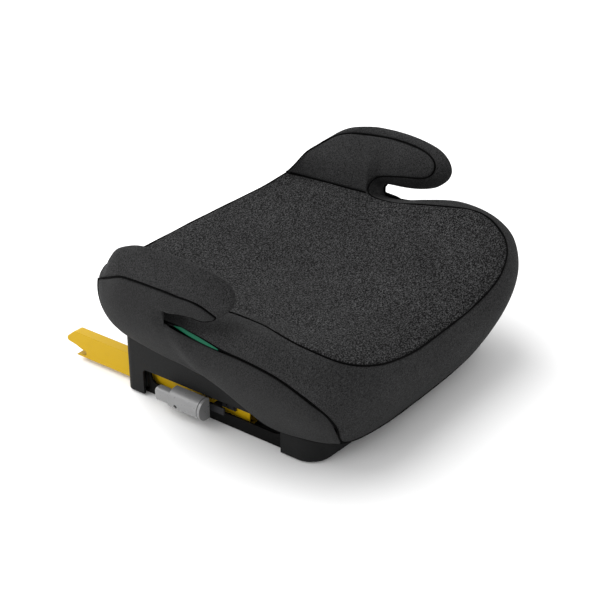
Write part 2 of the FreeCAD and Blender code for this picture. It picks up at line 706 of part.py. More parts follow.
def armrest_pad(name, side):
    """Horn-shaped foam armrest around its core; the horn reaches forward over the belt slot."""
    top, low = S["armrest_top"], S["armrest_bottom"]
    outline = [(6.3, low), (97, low), (94, 156, 30.0), (80, 180, 24.0), (56, 199, 40.0),
               (10, top, 90.0), (-40, top, 50.0), (-76, 201, 16.0), (-88, 183, 8.0),
               (-74, 160, 14.0), (-50, 150.5, 10.0), (6.3, 149.5, 4.0)]
    inner = S["arm_inner_face"]
    made = plate(f"armrest_pad_{name}", side, [rounded(outline)], "Sizes.arm_inner_face",
                 "Sizes.outer_half - Sizes.arm_inner_face")
    play, width = FOAM_PLAY, S["core_width"]
    slot(made, side, [core_foot(play)], S["core_inner"] - play, width + 2 * play)
    slot(made, side, [core_shelf(play)], S["core_inner"] - play, core_reach() + 2 * play)
    slot(made, side, [core_horn(play)], S["core_horn_inner"] - play, width + 2 * play)
    doc.recompute()
    faces = [inner * side, S["outer_half"] * side]
    names = [f"Edge{i}" for i, edge in enumerate(made.Shape.Edges, start=1)
             if edge.CenterOfMass.z > low + 22
             and any(abs(v.X - f) < 1e-6 for f in faces for v in edge.Vertexes)
             and max(abs(v.X - edge.Vertexes[0].X) for v in edge.Vertexes) < 1e-6]
    base = made.Tip
    rounding = made.newObject("PartDesign::Fillet", made.Label + "_edges")
    rounding.Base = (base, names)
    rounding.Radius = 9.0


def cover_clips():
    """Clips that hold the cover's hem to the housing."""
    shapes = []
    for name, side in SIDES.items():
        for i, (y, z) in enumerate([(80, 84 - 5), (40, 74), (0, 68), (-40, 62), (-84, 44)]):
            clip = doc.addObject("Part::Box", f"clip_{name}_{i}")
            clip.Length, clip.Width, clip.Height = 2.6, 10.0, 4.0
            start = S["housing_half"] + 0.3
            x = start if side > 0 else -start - 2.6
            clip.Placement = Placement(Vector(x, y - 5, z), Rotation())
            shapes.append(clip)
    group("cover_clips", shapes)


# ---------------------------------------------------------------- the whole seat

def build():
    base_housing()
    base_tray()
    base_screws()
    anti_slip_pads()
    seat_shell()
    seat_cushion()
    front_bolster()
    cover_clips()
    for name, side in SIDES.items():
        guides(name, side)
        isofix_arm(name, side)
        arm_pins(name, side)
        latch_hook(name, side)
        latch_pawl(name, side)
        release_rod(name, side)
        release_handle(name, side)
        handle_bracket(name, side)
        armrest_core(name, side)
        side_bolster(name, side)
        belt_guide(name, side)
        armrest_pad(name, side)


def check_and_export():
    doc.recompute()
    failed = [o.Label for o in doc.Objects if "Invalid" in o.State or "Error" in o.State]
    if failed:
        raise ValueError(f"objects that did not build: {failed}")
    for part in parts:
        if part.Shape.isNull() or not part.Shape.isValid():
            raise ValueError(f"{part.Label} has no valid shape")
    os.makedirs("parts", exist_ok=True)
    for part in parts:
        part.Shape.exportStep(f"parts/{part.Label}.step")
    print(len(parts), "sub-parts written")


build()
check_and_export()
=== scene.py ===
import json
import math
import bmesh
import bpy
import numpy as np
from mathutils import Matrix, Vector
from mathutils.kdtree import KDTree


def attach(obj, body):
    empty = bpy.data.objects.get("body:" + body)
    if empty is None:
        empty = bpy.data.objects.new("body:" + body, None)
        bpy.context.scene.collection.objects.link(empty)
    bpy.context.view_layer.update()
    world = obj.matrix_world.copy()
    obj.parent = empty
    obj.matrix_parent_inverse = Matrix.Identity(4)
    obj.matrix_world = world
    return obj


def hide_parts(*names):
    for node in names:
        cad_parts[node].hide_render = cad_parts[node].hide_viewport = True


# A backless booster seat. The sewn cover is built here, panel by panel, over the CAD frame.
# Tables are in millimetres for the child's left side (+X). The right side is their mirror twin,
# apart from the small differences in SLOT_END, left_hand and right_hand.

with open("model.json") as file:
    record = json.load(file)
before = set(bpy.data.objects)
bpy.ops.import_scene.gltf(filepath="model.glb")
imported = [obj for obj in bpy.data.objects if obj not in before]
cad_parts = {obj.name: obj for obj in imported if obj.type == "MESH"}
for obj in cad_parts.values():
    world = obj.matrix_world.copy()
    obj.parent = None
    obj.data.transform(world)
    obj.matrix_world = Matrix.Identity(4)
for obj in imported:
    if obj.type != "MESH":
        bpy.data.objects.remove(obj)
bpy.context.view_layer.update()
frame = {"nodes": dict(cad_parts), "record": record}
MM = 0.001
SIDES = {"left": 1, "right": -1}

# Rows along the band that runs over an armrest, round its nose, back under it, down the rear of
# the belt slot, over the shoulder and across the front: inner seam, crown, outer seam.
BAND = [
    (149, 114, 148.5, 175, 105.5, 153, 198, 91, 152),
    (157.5, 103, 157, 186, 90, 159.5, 202, 80, 157.5),
    (167, 95.5, 165.5, 195, 80, 171.5, 205, 69, 162),
    (178, 83, 175, 201, 66.5, 186.5, 208.5, 57, 168),
    (187, 70, 186, 205, 52, 198, 211, 45, 173),
    (192.5, 52, 195.3, 206, 34, 205.5, 213, 29, 175),
    (197, 33.5, 199.8, 206.8, 20, 208.7, 214, 15, 176),
    (198, 16.5, 202.4, 207.2, 5, 209.4, 214, -1, 176),
    (198.5, -5.5, 204, 207.2, -14, 209.4, 214, -17, 176),
    (197.5, -28, 203.3, 206.8, -36, 208.5, 213, -31, 174.3),
    (195, -49, 201, 205.5, -58, 205, 211.2, -45, 173),
    (191.5, -62.5, 197.2, 203, -74, 200, 209, -55, 170),
    (188.6, -70, 192, 200, -84.5, 192, 207.6, -59.5, 167.5),
    (187, -71.8, 185, 198.5, -88.5, 183, 206.3, -62.5, 165),
    (185.6, -69, 178, 197.5, -85, 173, 205, -65.5, 162.8),
    (184, -62, 172.7, 196, -76.5, 165.5, 203.3, -68.5, 160.3),
    (183, -51, 169.8, 194.5, -64, 159, 202.6, -66.5, 156.8),
    (182.5, -40, 168, 193.5, -50, 154.5, 203.7, -58.5, 152.5),
    (182, -27, 165.8, 193, -34, 151, 205.5, -44, 148.6),
    (181.8, -15, 163.6, 193, -20, 149.2, 206.3, -26, 148),
    (181.4, -5, 161.6, 193, -8, 148.4, 206.5, -12, 148.4),
    (180.3, 2, 159.4, 193, 0.5, 147, 207, -4, 146.5),
    (177, 7.3, 156, 192, 6, 145.8, 207, 2.5, 145),
    (173, 9, 151.9, 190.8, 8.6, 143, 206.7, 5, 142.6),
    (169.5, 8.5, 147.5, 189, 8, 139.5, 206.3, 4.9, 139.8),
    (167, 7, 142.7, 187.5, 4, 136.6, 205.8, 1.5, 138),
    (164.8, -2, 141.2, 186.3, -4, 135, 205.3, -5, 137.8),
    (163.6, -12, 140.9, 186.2, -12, 134.6, 205, -13, 137.9),
    (163, -24, 141.5, 187, -23, 135.6, 204.6, -23, 137.5),
    (163, -38, 143.2, 188.5, -38, 138.2, 204.4, -37, 135.2),
    (164.5, -57, 146.5, 191.5, -56, 142, 204.6, -54, 132.4),
    (168.5, -80, 149, 195, -79, 146, 205, -76, 128.5),
    (174, -104, 151.3, 198, -103, 148.5, 205, -101, 127),
    (179, -124, 152, 199.5, -126, 146, 205, -122, 125),
    (179.5, -148, 148.5, 198.5, -154, 137.5, 204, -146, 120),
    (173, -166, 142, 191, -175, 128, 200, -165, 110),
    (165, -179, 135.6, 180, -188, 116.5, 192, -178, 97),
    (153, -189, 128.7, 168, -196.5, 105, 180, -184.5, 81),
    (137, -196, 122, 152, -202, 94, 167, -185.5, 62),
    (117, -201, 116, 131, -205.5, 84, 153.5, -181.5, 38.5),
    (92, -203, 110, 103, -206.5, 75, 128, -184, 30),
    (60, -202, 103, 67, -206, 69, 84, -187.5, 25.5),
    (20, -201, 100, 22, -204.8, 66, 28, -189, 24),
]
SLOT_ROW, CORNER_ROW = 25, 35

# Seam between the seat and an armrest, from the rear corner to the belt slot.
ARM_SEAM = [
    (149, 114, 148.5), (154, 104, 147.2), (157, 92, 146.4), (159.5, 78, 145.5),
    (161.3, 62, 144.8), (163, 46, 144.2), (164.5, 30, 143.6), (166, 16, 143.1), (167, 7, 142.7),
]
REAR_EDGE = [(0, 132, 134.5), (40, 131, 135), (80, 127.5, 137), (115, 121.5, 141), (149, 114, 148.5)]
SEAT_MIDDLE = [
    (-201, 99.5), (-196, 104), (-186, 109.5), (-170, 114.2), (-150, 117.3), (-120, 119),
    (-80, 118.6), (-40, 118), (0, 118), (40, 119.5), (80, 123), (110, 128.5), (132, 134.5),
]

# Inner face of an armrest: points on its upper seam, paired with points on its lower seam.
INNER_FACE = [
    (149, 114, 148.5, 149, 114, 148.3),
    (157.5, 103, 157, 154, 104, 147.2),
    (167, 95.5, 165.5, 157, 92, 146.4),
    (172.7, 89.7, 170.4, 159.5, 78, 145.5),
    (180.3, 80.3, 177.5, 161.3, 62, 144.8),
    (188, 67.5, 187.5, 163, 46, 144.2),
    (192.5, 52, 195.3, 164.5, 30, 143.6),
    (195.3, 42.5, 198, 166, 16, 143.1),
    (197, 33.5, 199.8, 167, 7, 142.7),
    (197.7, 25, 201.2, 169.5, 8.5, 147.5),
    (198, 16.5, 202.4, 173, 9, 151.9),
    (198.3, 5.5, 203.8, 177, 7.3, 156),
    (198.5, -5.5, 204, 180.3, 2, 159.4),
    (198.2, -17, 203.8, 181.8, -13, 163.2),
    (197.5, -28, 203.3, 182, -27, 165.8),
    (196.5, -38.5, 202.3, 182.5, -40, 168),
    (195, -49, 201, 183, -51, 169.8),
    (193.4, -56.5, 199.3, 183.6, -59, 171.8),
    (191.5, -62.5, 197.2, 184.6, -65.5, 175),
    (189.7, -67.3, 194, 185.8, -69.5, 179),
    (187.7, -71.3, 189, 186.9, -71.6, 185),
]

# Side of the cover from rear to front: hem, widest point, upper edge.
SIDE_REAR = [
    (168, 90, 77, 193, 91.5, 114, 198, 91, 152),
    (168, 76, 72.5, 200, 81, 116, 202, 80, 157.5),
    (168, 63, 70, 204.5, 69, 118, 205, 69, 162),
    (168, 50, 68, 207.5, 57, 120, 208.5, 57, 168),
    (168, 38, 66.5, 209.5, 45, 121, 211, 45, 173),
    (168, 24, 65.5, 211, 29, 122, 213, 29, 175),
    (168, 13, 65, 211.5, 15, 122, 214, 15, 176),
    (168, 4, 64.5, 211.5, 5, 122, 214, 5, 176),
]
SIDE_FRONT = [
    (168, 4, 64.5, 211.4, 5, 107, 207.8, 5, 138.5),
    (168, -3, 63.4, 210.6, -3, 106.6, 206.8, -3, 137.6),
    (168, -11, 62.2, 210, -11, 106, 206.2, -11, 137.4),
    (168, -22, 61.2, 209.5, -22, 105.5, 206, -22, 135.2),
    (168, -36, 59.3, 209, -37, 104, 206, -37, 131.6),
    (168, -54, 53.3, 208.5, -54, 101, 206, -54, 129.2),
    (168, -76, 42, 208, -76, 98, 205.6, -76, 127.8),
    (168, -101, 33.7, 207.5, -101, 95, 205.3, -101, 126.7),
    (168, -122, 32.5, 207, -122, 93, 205, -122, 124.5),
    (168, -146, 35, 205.5, -146, 90, 203.6, -146, 119.3),
    (166, -160, 36, 200, -163, 84, 199.8, -164.5, 109.5),
    (162, -168, 35.5, 191, -175, 77, 192, -177, 97),
    (159, -172, 35.2, 180, -181, 68, 183, -183, 86.5),
    (156, -175, 35, 171, -183, 57, 174, -184.6, 72.5),
    (154.5, -177, 34.8, 163, -182, 48, 165.5, -183.8, 58.5),
    (153, -179, 34.6, 155.8, -181.2, 40, 157.5, -182.6, 45.5),
    (152, -180, 34.5, 152.4, -180.4, 36, 153, -180.8, 37.5),
]
# Lower outer face of the horn: underside edge, middle, outer seam.
HORN_FACE = [
    (207.8, 5, 146.2, 212.8, 5, 160, 214, 5, 176),
    (207.4, -3, 146.6, 212.6, -3, 160, 214, -3, 176),
    (206.9, -12, 148.4, 212.3, -14, 160.6, 214, -17, 176),
    (206.6, -26, 148, 211.3, -29, 160.7, 213, -31, 174.3),
    (205.9, -44, 148.6, 209.9, -45, 159.5, 211.2, -45, 173),
    (204.9, -55, 151, 208, -55.5, 159.3, 209, -55, 170),
    (203.9, -62, 153.8, 206, -62.3, 158.6, 206.5, -62, 165.3),
    (202.7, -67, 155.3, 203.7, -67, 158.6, 204, -67, 162),
    (202, -69.3, 158.6, 202.2, -69.3, 159.3, 202.4, -69.3, 160),
]
# Side rows that close the outer end of a belt slot, how far forward each side is closed, and how
# high the slot's end lies.
SLOT_COVER = [
    (168, -3, 63.4, 211.4, -3, 121.5, 214, -3, 176),
    (168, -11, 62.2, 211, -11, 121, 214, -12, 176),
]
SLOT_END = {"left": 4.0, "right": -11.0}
SLOT_HEIGHT = 142.5
# Back of the cover from the middle out: hem, middle, upper edge.
BACK = [
    (0, 119, 78, 0, 129, 106, 0, 132, 134.5),
    (40, 119.2, 78, 40, 128.3, 106.3, 40, 131, 135),
    (80, 119.2, 78, 80, 126.5, 107, 80, 127.5, 137),
    (112, 118.8, 78, 115, 124, 109, 115, 121.5, 141),
    (145, 118, 77.5, 149, 119.5, 112, 149, 114, 148.5),
    (161, 109, 77.3, 174, 107, 114, 175, 105.5, 153),
    (168, 90, 77, 193, 91.5, 114, 198, 91, 152),
]
# Turned-under lining from the hem to the housing, from the middle of the front to the rear.
LINING = [
    (0, -189, 24, 0, -163, 28), (28, -189, 24, 28, -163, 28), (84, -187.5, 25.5, 84, -162, 29),
    (128, -184, 30, 120, -160.8, 33), (152, -180, 34.5, 140, -158.5, 38),
    (158, -172.5, 35.2, 150, -154, 39), (163, -166.5, 35.7, 157, -147, 39.5),
    (167, -158, 36, 161, -140, 39.5), (168, -146, 35, 161, -134, 38.5),
    (168, -122, 32.5, 161, -118, 36), (168, -101, 33.7, 161, -98, 37.3),
    (168, -76, 42, 161, -74, 45.5), (168, -54, 53.3, 161, -53, 56),
    (168, -36, 59.3, 161, -35, 62), (168, -11, 62.2, 161, -11, 65), (168, 4, 64.5, 161, 4, 67),
    (168, 24, 65.5, 161, 24, 68), (168, 50, 68, 161, 50, 70.5), (168, 76, 72.5, 161, 74, 75),
    (168, 90, 77, 160, 88, 80), (161, 109, 77.3, 150, 98, 81), (145, 118, 77.5, 138, 99.6, 82),
    (112, 118.8, 78, 112, 99.6, 82), (80, 119.2, 78, 80, 99.6, 82), (40, 119.2, 78, 40, 99.6, 82),
    (0, 119, 78, 0, 99.6, 82),
]
# Green guide beside the belt slot: lower and upper edge of what shows.
GUIDE = [
    (206, -18, 135.7, 205.4, -18, 137), (206.4, -24, 134.2, 205.2, -24, 137.6),
    (206.5, -37, 131.4, 205, -37, 135.6), (206.5, -54, 129, 205, -54, 132.8),
    (206.2, -66, 128, 205.1, -66, 130.4), (205.8, -73, 127.7, 205.2, -73, 128.9),
]


# ---------------------------------------------------------------- curves and grids

def resample(rows, step, measured=slice(None)):
    """Smooth curve through the rows, sampled about every step, closer at its two ends."""
    rows = np.asarray(rows, float)
    gaps = np.linalg.norm(np.diff(rows[:, measured], axis=0), axis=1)
    knots = np.concatenate([[0], np.cumsum(np.maximum(gaps, 1e-6))])
    slope = np.diff(rows, axis=0) / np.diff(knots)[:, None]
    before, after = np.diff(knots)[:-1, None], np.diff(knots)[1:, None]
    inner = (slope[:-1] * after + slope[1:] * before) / (before + after)
    tangent = np.vstack([slope[:1], inner, slope[-1:]])
    where = spread(knots[-1], step)
    cell = np.clip(np.searchsorted(knots, where, side="right") - 1, 0, len(rows) - 2)
    width = (knots[cell + 1] - knots[cell])[:, None]
    t = (where - knots[cell])[:, None] / width
    return ((2 * t ** 3 - 3 * t ** 2 + 1) * rows[cell] + (t ** 3 - 2 * t ** 2 + t) * width * tangent[cell]
            + (3 * t ** 2 - 2 * t ** 3) * rows[cell + 1] + (t ** 3 - t ** 2) * width * tangent[cell + 1])


EDGE = np.array([0, 0.5, 1.1, 1.9, 3.0])


def spread(length, step=None, count=None):
    """Distances from 0 to length, packed closely near both ends where the cloth turns in."""
    edge = EDGE * min(1.0, length / 9)
    middle = length - 2 * edge[-1]
    count = count or max(2, int(round(middle / step)))
    inside = edge[-1] + middle * np.arange(1, count) / count
    return np.concatenate([edge, inside, length - edge[::-1]])


FINE = 160   # steps along a curve before it is sampled or cut
STEP = 5.0   # distance between stations along the band, the inner faces and the sides


def arc(a, m, b, count, packed=True):
    """Arc from a to b through m, for every station at once: stations x points x 3."""
    a, m, b = (np.asarray(v, float) for v in (a, m, b))
    pull = 0.6
    corner = (8 * m - (4 - 3 * pull) * (a + b)) / (6 * pull)
    c1, c2 = a + pull * (corner - a), b + pull * (corner - b)
    u = np.linspace(0, 1, FINE + 1)[None, :, None]
    a, b, c1, c2 = (v[:, None, :] for v in (a, b, c1, c2))
    dense = (1 - u) ** 3 * a + 3 * u * (1 - u) ** 2 * c1 + 3 * u ** 2 * (1 - u) * c2 + u ** 3 * b
    return walk(dense, count, packed)


def walk(dense, count, packed=True):
    """The same curves with points at even distances, or packed near both ends."""
    made = []
    for line in dense:
        run = np.concatenate([[0], np.cumsum(np.linalg.norm(np.diff(line, axis=0), axis=1))])
        stops = spread(run[-1], count=count) if packed else np.linspace(0, run[-1], count + 1)
        made.append(np.stack([np.interp(stops, run, line[:, k]) for k in range(3)], axis=1))
    return np.array(made)


def share(line):
    """Share of the way along the line at each of its points."""
    run = np.concatenate([[0], np.cumsum(np.linalg.norm(np.diff(line, axis=0), axis=1))])
    return run / run[-1]


def grid_mesh(grids):
    """Vertices and faces of one or more point grids."""
    verts, faces, start = [], [], 0
    for grid in grids:
        rows, cols = grid.shape[:2]
        verts.append(grid.reshape(-1, 3))
        index = start + np.arange(rows * cols).reshape(rows, cols)
        quads = np.stack([index[:-1, :-1], index[1:, :-1], index[1:, 1:], index[:-1, 1:]], axis=-1)
        faces.append(quads.reshape(-1, 4))
        start += rows * cols
    return np.vstack(verts), np.vstack(faces)


def mirrored(grid):
    return grid * np.array([-1.0, 1.0, 1.0])


def new_object(name, verts, faces, outward):
    """Welded mesh object in metres whose faces look the way outward(face centres) says."""
    mesh = bpy.data.meshes.new(name)
    mesh.from_pydata((verts * MM).tolist(), [], faces.tolist())
    obj = bpy.data.objects.new(name, mesh)
    bpy.context.scene.collection.objects.link(obj)
    weld(mesh)
    centres = np.array([p.center for p in mesh.polygons]) / MM
    normals = np.array([p.normal for p in mesh.polygons])
    areas = np.array([p.area for p in mesh.polygons])
    if np.sum(np.einsum("ij,ij->i", normals, outward(centres)) * areas) < 0:
        mesh.flip_normals()
    mesh.update()
    return obj


WELD, SLIVER = 0.00008, 0.00003   # points closer than this, in metres, become one


def weld(mesh):
    work = bmesh.new()
    work.from_mesh(mesh)
    bmesh.ops.remove_doubles(work, verts=work.verts, dist=WELD)
    bmesh.ops.dissolve_degenerate(work, edges=work.edges, dist=SLIVER)
    bmesh.ops.recalc_face_normals(work, faces=work.faces)
    work.to_mesh(mesh)
    work.free()


def coords(mesh):
    found = np.empty(len(mesh.vertices) * 3)
    mesh.vertices.foreach_get("co", found)
    return found.reshape(-1, 3)


def set_coords(mesh, points):
    mesh.vertices.foreach_set("co", np.ascontiguousarray(points, float).ravel())
    mesh.update()


def point_normals(mesh):
    found = np.empty(len(mesh.vertices) * 3)
    mesh.vertices.foreach_get("normal", found)
    return found.reshape(-1, 3)


def edge_distance(mesh):
    """Each vertex's distance from the panel's cut edge, in metres."""
    used = {}
    for face in mesh.polygons:
        for key in face.edge_keys:
            used[key] = used.get(key, 0) + 1
    rim = np.array([key for key, uses in used.items() if uses == 1])
    points = coords(mesh)
    a, b = points[rim[:, 0]], points[rim[:, 1]]
    run = b - a
    size = np.maximum(np.einsum("ij,ij->i", run, run), 1e-12)
    best = np.full(len(points), 1.0)
    for chunk in np.array_split(np.arange(len(rim)), 8):
        off = points[:, None, :] - a[chunk][None]
        t = np.clip(np.einsum("ijk,jk->ij", off, run[chunk]) / size[chunk], 0, 1)
        near = np.linalg.norm(off - t[..., None] * run[chunk][None], axis=2).min(axis=1)
        best = np.minimum(best, near)
    return best


# ---------------------------------------------------------------- sewing

TURN_DEPTH, TURN_WIDTH = 2.6 * MM, 3.0 * MM
PIN_WIDTH = 9 * MM       # the cloth is held from its sewn edge up to this far in
FREE_WIDTH = 4 * MM      # and moves fully only this far from the edge
FRAMES = 20


def turn_in(obj):
    """Rolls the panel's cut edge inwards, as a sewn seam pulls it."""
    mesh = obj.data
    rise = np.clip(1 - edge_distance(mesh) / TURN_WIDTH, 0, 1)
    drop = TURN_DEPTH * (1 - np.sqrt(1 - rise ** 2 * 0.999))
    set_coords(mesh, coords(mesh) - point_normals(mesh) * drop[:, None])


def add_cloth(obj, away, pressure):
    """Cloth modifier that fills the panel out while its sewn edge stays where it is."""
    held = obj.vertex_groups.new(name="sewn")
    for i, distance in enumerate(away):
        held.add([i], float(np.clip(1.25 - distance / PIN_WIDTH, 0, 1)), "REPLACE")
    cloth = obj.modifiers.new("Cloth", "CLOTH")
    cloth.settings.quality = 5
    cloth.settings.mass = 0.15
    cloth.settings.tension_stiffness = 18
    cloth.settings.compression_stiffness = 18
    cloth.settings.shear_stiffness = 8
    cloth.settings.bending_stiffness = 6
    cloth.settings.vertex_group_mass = "sewn"
    cloth.settings.use_pressure = True
    cloth.settings.uniform_pressure_force = pressure
    cloth.settings.effector_weights.gravity = 0
    cloth.collision_settings.use_collision = False
    cloth.collision_settings.use_self_collision = False
    cloth.point_cache.frame_start, cloth.point_cache.frame_end = 1, FRAMES


def evened(mesh, field, passes=10):
    """Per-vertex field averaged over mesh neighbours."""
    ends = np.array([edge.vertices for edge in mesh.edges])
    count = np.bincount(ends.ravel(), minlength=len(field))[:, None]
    for _ in range(passes):
        total = np.zeros_like(field)
        np.add.at(total, ends[:, 0], field[ends[:, 1]])
        np.add.at(total, ends[:, 1], field[ends[:, 0]])
        field = (field + total / count) / 2
    return field


def run_cloth(pieces):
    """Steps every panel's cloth together, then keeps the shape, capped to a few millimetres."""
    scene = bpy.context.scene
    for step in range(1, FRAMES + 1):
        scene.frame_set(step)
    shapes = {}
    graph = bpy.context.evaluated_depsgraph_get()
    for obj, cap, away in pieces:
        settled = coords(obj.evaluated_get(graph).data)
        moved = evened(obj.data, settled - coords(obj.data))
        moved *= np.clip(away / FREE_WIDTH, 0, 1)[:, None]
        size = np.linalg.norm(moved, axis=1, keepdims=True)
        limit = cap * np.tanh(size / cap) / np.maximum(size, 1e-9)
        shapes[obj.name] = coords(obj.data) + moved * limit
    for obj, _, _ in pieces:
        obj.modifiers.clear()
        obj.vertex_groups.clear()
        set_coords(obj.data, shapes[obj.name])
    scene.frame_set(1)


def thicken(obj, thickness=1.6 * MM):
    """Gives the panel its cloth and foam thickness inwards, and smooths it."""
    solid = obj.modifiers.new("Thickness", "SOLIDIFY")
    solid.thickness, solid.offset = thickness, -1
    smooth = obj.modifiers.new("Smooth", "SUBSURF")
    smooth.levels = smooth.render_levels = 1
    smooth.boundary_smooth = "PRESERVE_CORNERS"
    apply_modifiers(obj)


def apply_modifiers(obj):
    graph = bpy.context.evaluated_depsgraph_get()
    made = bpy.data.meshes.new_from_object(obj.evaluated_get(graph))
    obj.modifiers.clear()
    made.name = obj.name
    obj.data = made
    made.polygons.foreach_set("use_smooth", [True] * len(made.polygons))


def tube(name, points, radius):
    """Round thread along the points, as a mesh piece in metres."""
    line = bpy.data.curves.new(name, "CURVE")
    line.dimensions = "3D"
    line.bevel_depth, line.bevel_resolution = radius, 2
    line.use_fill_caps = True
    spline = line.splines.new("POLY")
    spline.points.add(len(points) - 1)
    for target, point in zip(spline.points, points):
        target.co = (*point, 1)
    obj = bpy.data.objects.new(name, line)
    bpy.context.scene.collection.objects.link(obj)
    graph = bpy.context.evaluated_depsgraph_get()
    mesh = bpy.data.meshes.new_from_object(obj.evaluated_get(graph))
    bpy.data.objects.remove(obj)
    mesh.name = name
    mesh.polygons.foreach_set("use_smooth", [True] * len(mesh.polygons))
    made = bpy.data.objects.new(name, mesh)
    bpy.context.scene.collection.objects.link(made)
    return made


# ---------------------------------------------------------------- cover panels

SEAM_LINES = {}   # filled by the panels: each seam's name and the points it runs through

# Where a side panel is parted for the belt slot: height of the lip, how far the lip stays below
# the panel's upper edge, and height of the gap.
LIP_HEIGHT, LIP_CLEAR, SLOT_GAP = 138.5, 12, 7.7
DRAW_DEPTH, DRAW_REACH = 3.6, 8   # how deep and how widely the slot's end pulls the cloth in
EASE = 34                         # length over which a front grid takes its own shape
FOLDS, FOLD_TURN, FOLD_HEIGHT, FOLD_REACH = 9.0, 0.9, 0.6, 6
RIPPLE_SIZE, RIPPLE_HEIGHT, RIPPLE_SEED = 0.05, 0.00035, 20


def left_hand(grid):
    """Left armrest: fuller at the rear, with its belt slot standing open further.

    Moves only points with positive X, so it may be given either side's grid.
    """
    x, y, z = (grid[..., k].copy() for k in range(3))
    lip = np.interp(x, (186, 203), (0, 1))
    drop = np.interp(y, (-54, -37, -23, -13, 4, 16, 30), (0, 5, 9, 10.4, 10.6, 5, 0))
    grid[..., 2] -= lip * drop * np.interp(z, (100, 122, 139, 146), (0, 1, 1, 0))
    grid[..., 1] += lip * 4.5 * np.exp(-((y - 5) / 9) ** 2 - ((z - 139) / 8) ** 2)
    rise = np.interp(y, (8, 34, 52, 70, 84, 95, 103, 110, 114), (0, 1.5, 4.5, 8, 9.5, 9.5, 8, 4, 0))
    hold = np.interp(x, (120, 140, 199, 206), (0, 1, 1, 0.45))
    grid[..., 2] += rise * hold * np.interp(z, (147.5, 153, 162), (0, 0.6, 1))


def right_hand(grid):
    """Right armrest: slimmer at the rear, its underside arched up towards the belt slot's end.

    Moves only points with negative X, so it may be given either side's grid.
    """
    x, y, z = (grid[..., k].copy() for k in range(3))
    rise = np.interp(y, (-58, -50, -40, -30, -11, 5, 20), (0, 1.2, 4.4, 6.5, 7, 3, 0))
    lip = np.interp(-x, (190, 203), (0, 1))
    grid[..., 2] += rise * lip * np.interp(z, (141, 146.5, 151, 160, 173), (0, 1, 1, 0.5, 0))
    flat = np.interp(y, (18, 42, 75, 95), (0, 1, 1, 0)) * np.interp(z, (155, 170), (0, 1))
    grid[..., 2] -= 3.2 * flat * np.interp(-x, (150, 170, 196, 204), (0, 0.7, 1, 0))


def outward_from(centre):
    centre = np.array(centre, float)
    return lambda points: points - centre


def seat_panel():
    """Seat panel: sides that rise to the armrests, a dished middle and a front that rolls down."""
    band = np.array(BAND)
    side = np.vstack([ARM_SEAM, band[SLOT_ROW + 1:CORNER_ROW + 1, :3]])[::-1]
    front = np.vstack([band[CORNER_ROW:, :3], mirrored(band[CORNER_ROW:, :3])[::-1]])[::-1]
    rear = np.vstack([mirrored(np.array(REAR_EDGE[1:]))[::-1], REAR_EDGE])

    def even(rows, count):
        return walk(resample(rows, 2.0)[None], count)[0]

    across, along = 62, 50
    near, far = even(front, across), even(rear, across)
    right = even(side, along)
    left = mirrored(right)
    u = share(near)[:, None, None]
    v = share(right)[None, :, None]
    behind_slot = right[:, 1] > 6.9
    for name, line in zip(SIDES, (right, left)):
        SEAM_LINES[f"seam_arm_{name}"] = line[behind_slot]
    corners = ((1 - u) * (1 - v) * near[0] + u * (1 - v) * near[-1]
               + (1 - u) * v * far[0] + u * v * far[-1])
    grid = ((1 - v) * near[:, None] + v * far[:, None] + (1 - u) * left[None] + u * right[None]
            - corners)
    middle = grid.shape[0] // 2
    table = np.array(SEAT_MIDDLE)
    wanted = np.interp(grid[middle, :, 1], table[:, 0], table[:, 1])
    weight = 1 - np.abs(2 * u[:, :, 0] - 1) ** 2.4
    grid[:, :, 2] += weight * (wanted - grid[middle, :, 2])[None]
    return new_object("seat_cover", *grid_mesh([grid]), lambda p: np.tile([0, 0, 1.0], (len(p), 1)))


def band_panel():
    """The one band that edges both armrests and the shoulders and becomes the front apron."""
    rows = np.array(BAND, float)
    twin = rows.copy()
    twin[:, ::3] *= -1
    rows = resample(np.vstack([rows, twin[::-1]]), STEP, slice(3, 6))
    grid = arc(rows[:, :3], rows[:, 3:6], rows[:, 6:], 15)
    left_hand(grid)
    right_hand(grid)
    SEAM_LINES["seam_inner"], SEAM_LINES["seam_outer"] = grid[2:-2, 0], grid[:, -1]

    def out(points):
        hub = points * np.array([0.8, 0.3, 0]) + np.array([0, 0, 60.0])
        return points - hub
    return new_object("cover_band", *grid_mesh([grid]), out)


def inner_panel(name, side):
    """Padded inner face of an armrest."""
    rows = resample(np.array(INNER_FACE, float), STEP)
    top, low = rows[:, :3], rows[:, 3:]
    height = np.linalg.norm(top - low, axis=1, keepdims=True)
    crown = (top + low) / 2 + np.array([-0.9, 0, 0.35]) * np.minimum(height / 14, 4.0)
    grid = arc(top, crown, low, 11)
    grid = grid if side > 0 else mirrored(grid)
    left_hand(grid)
    right_hand(grid)
    inward = np.array([-side * 1.0, 0, 0.3])
    return new_object(f"armrest_inner_{name}", *grid_mesh([grid]), lambda p: np.tile(inward, (len(p), 1)))


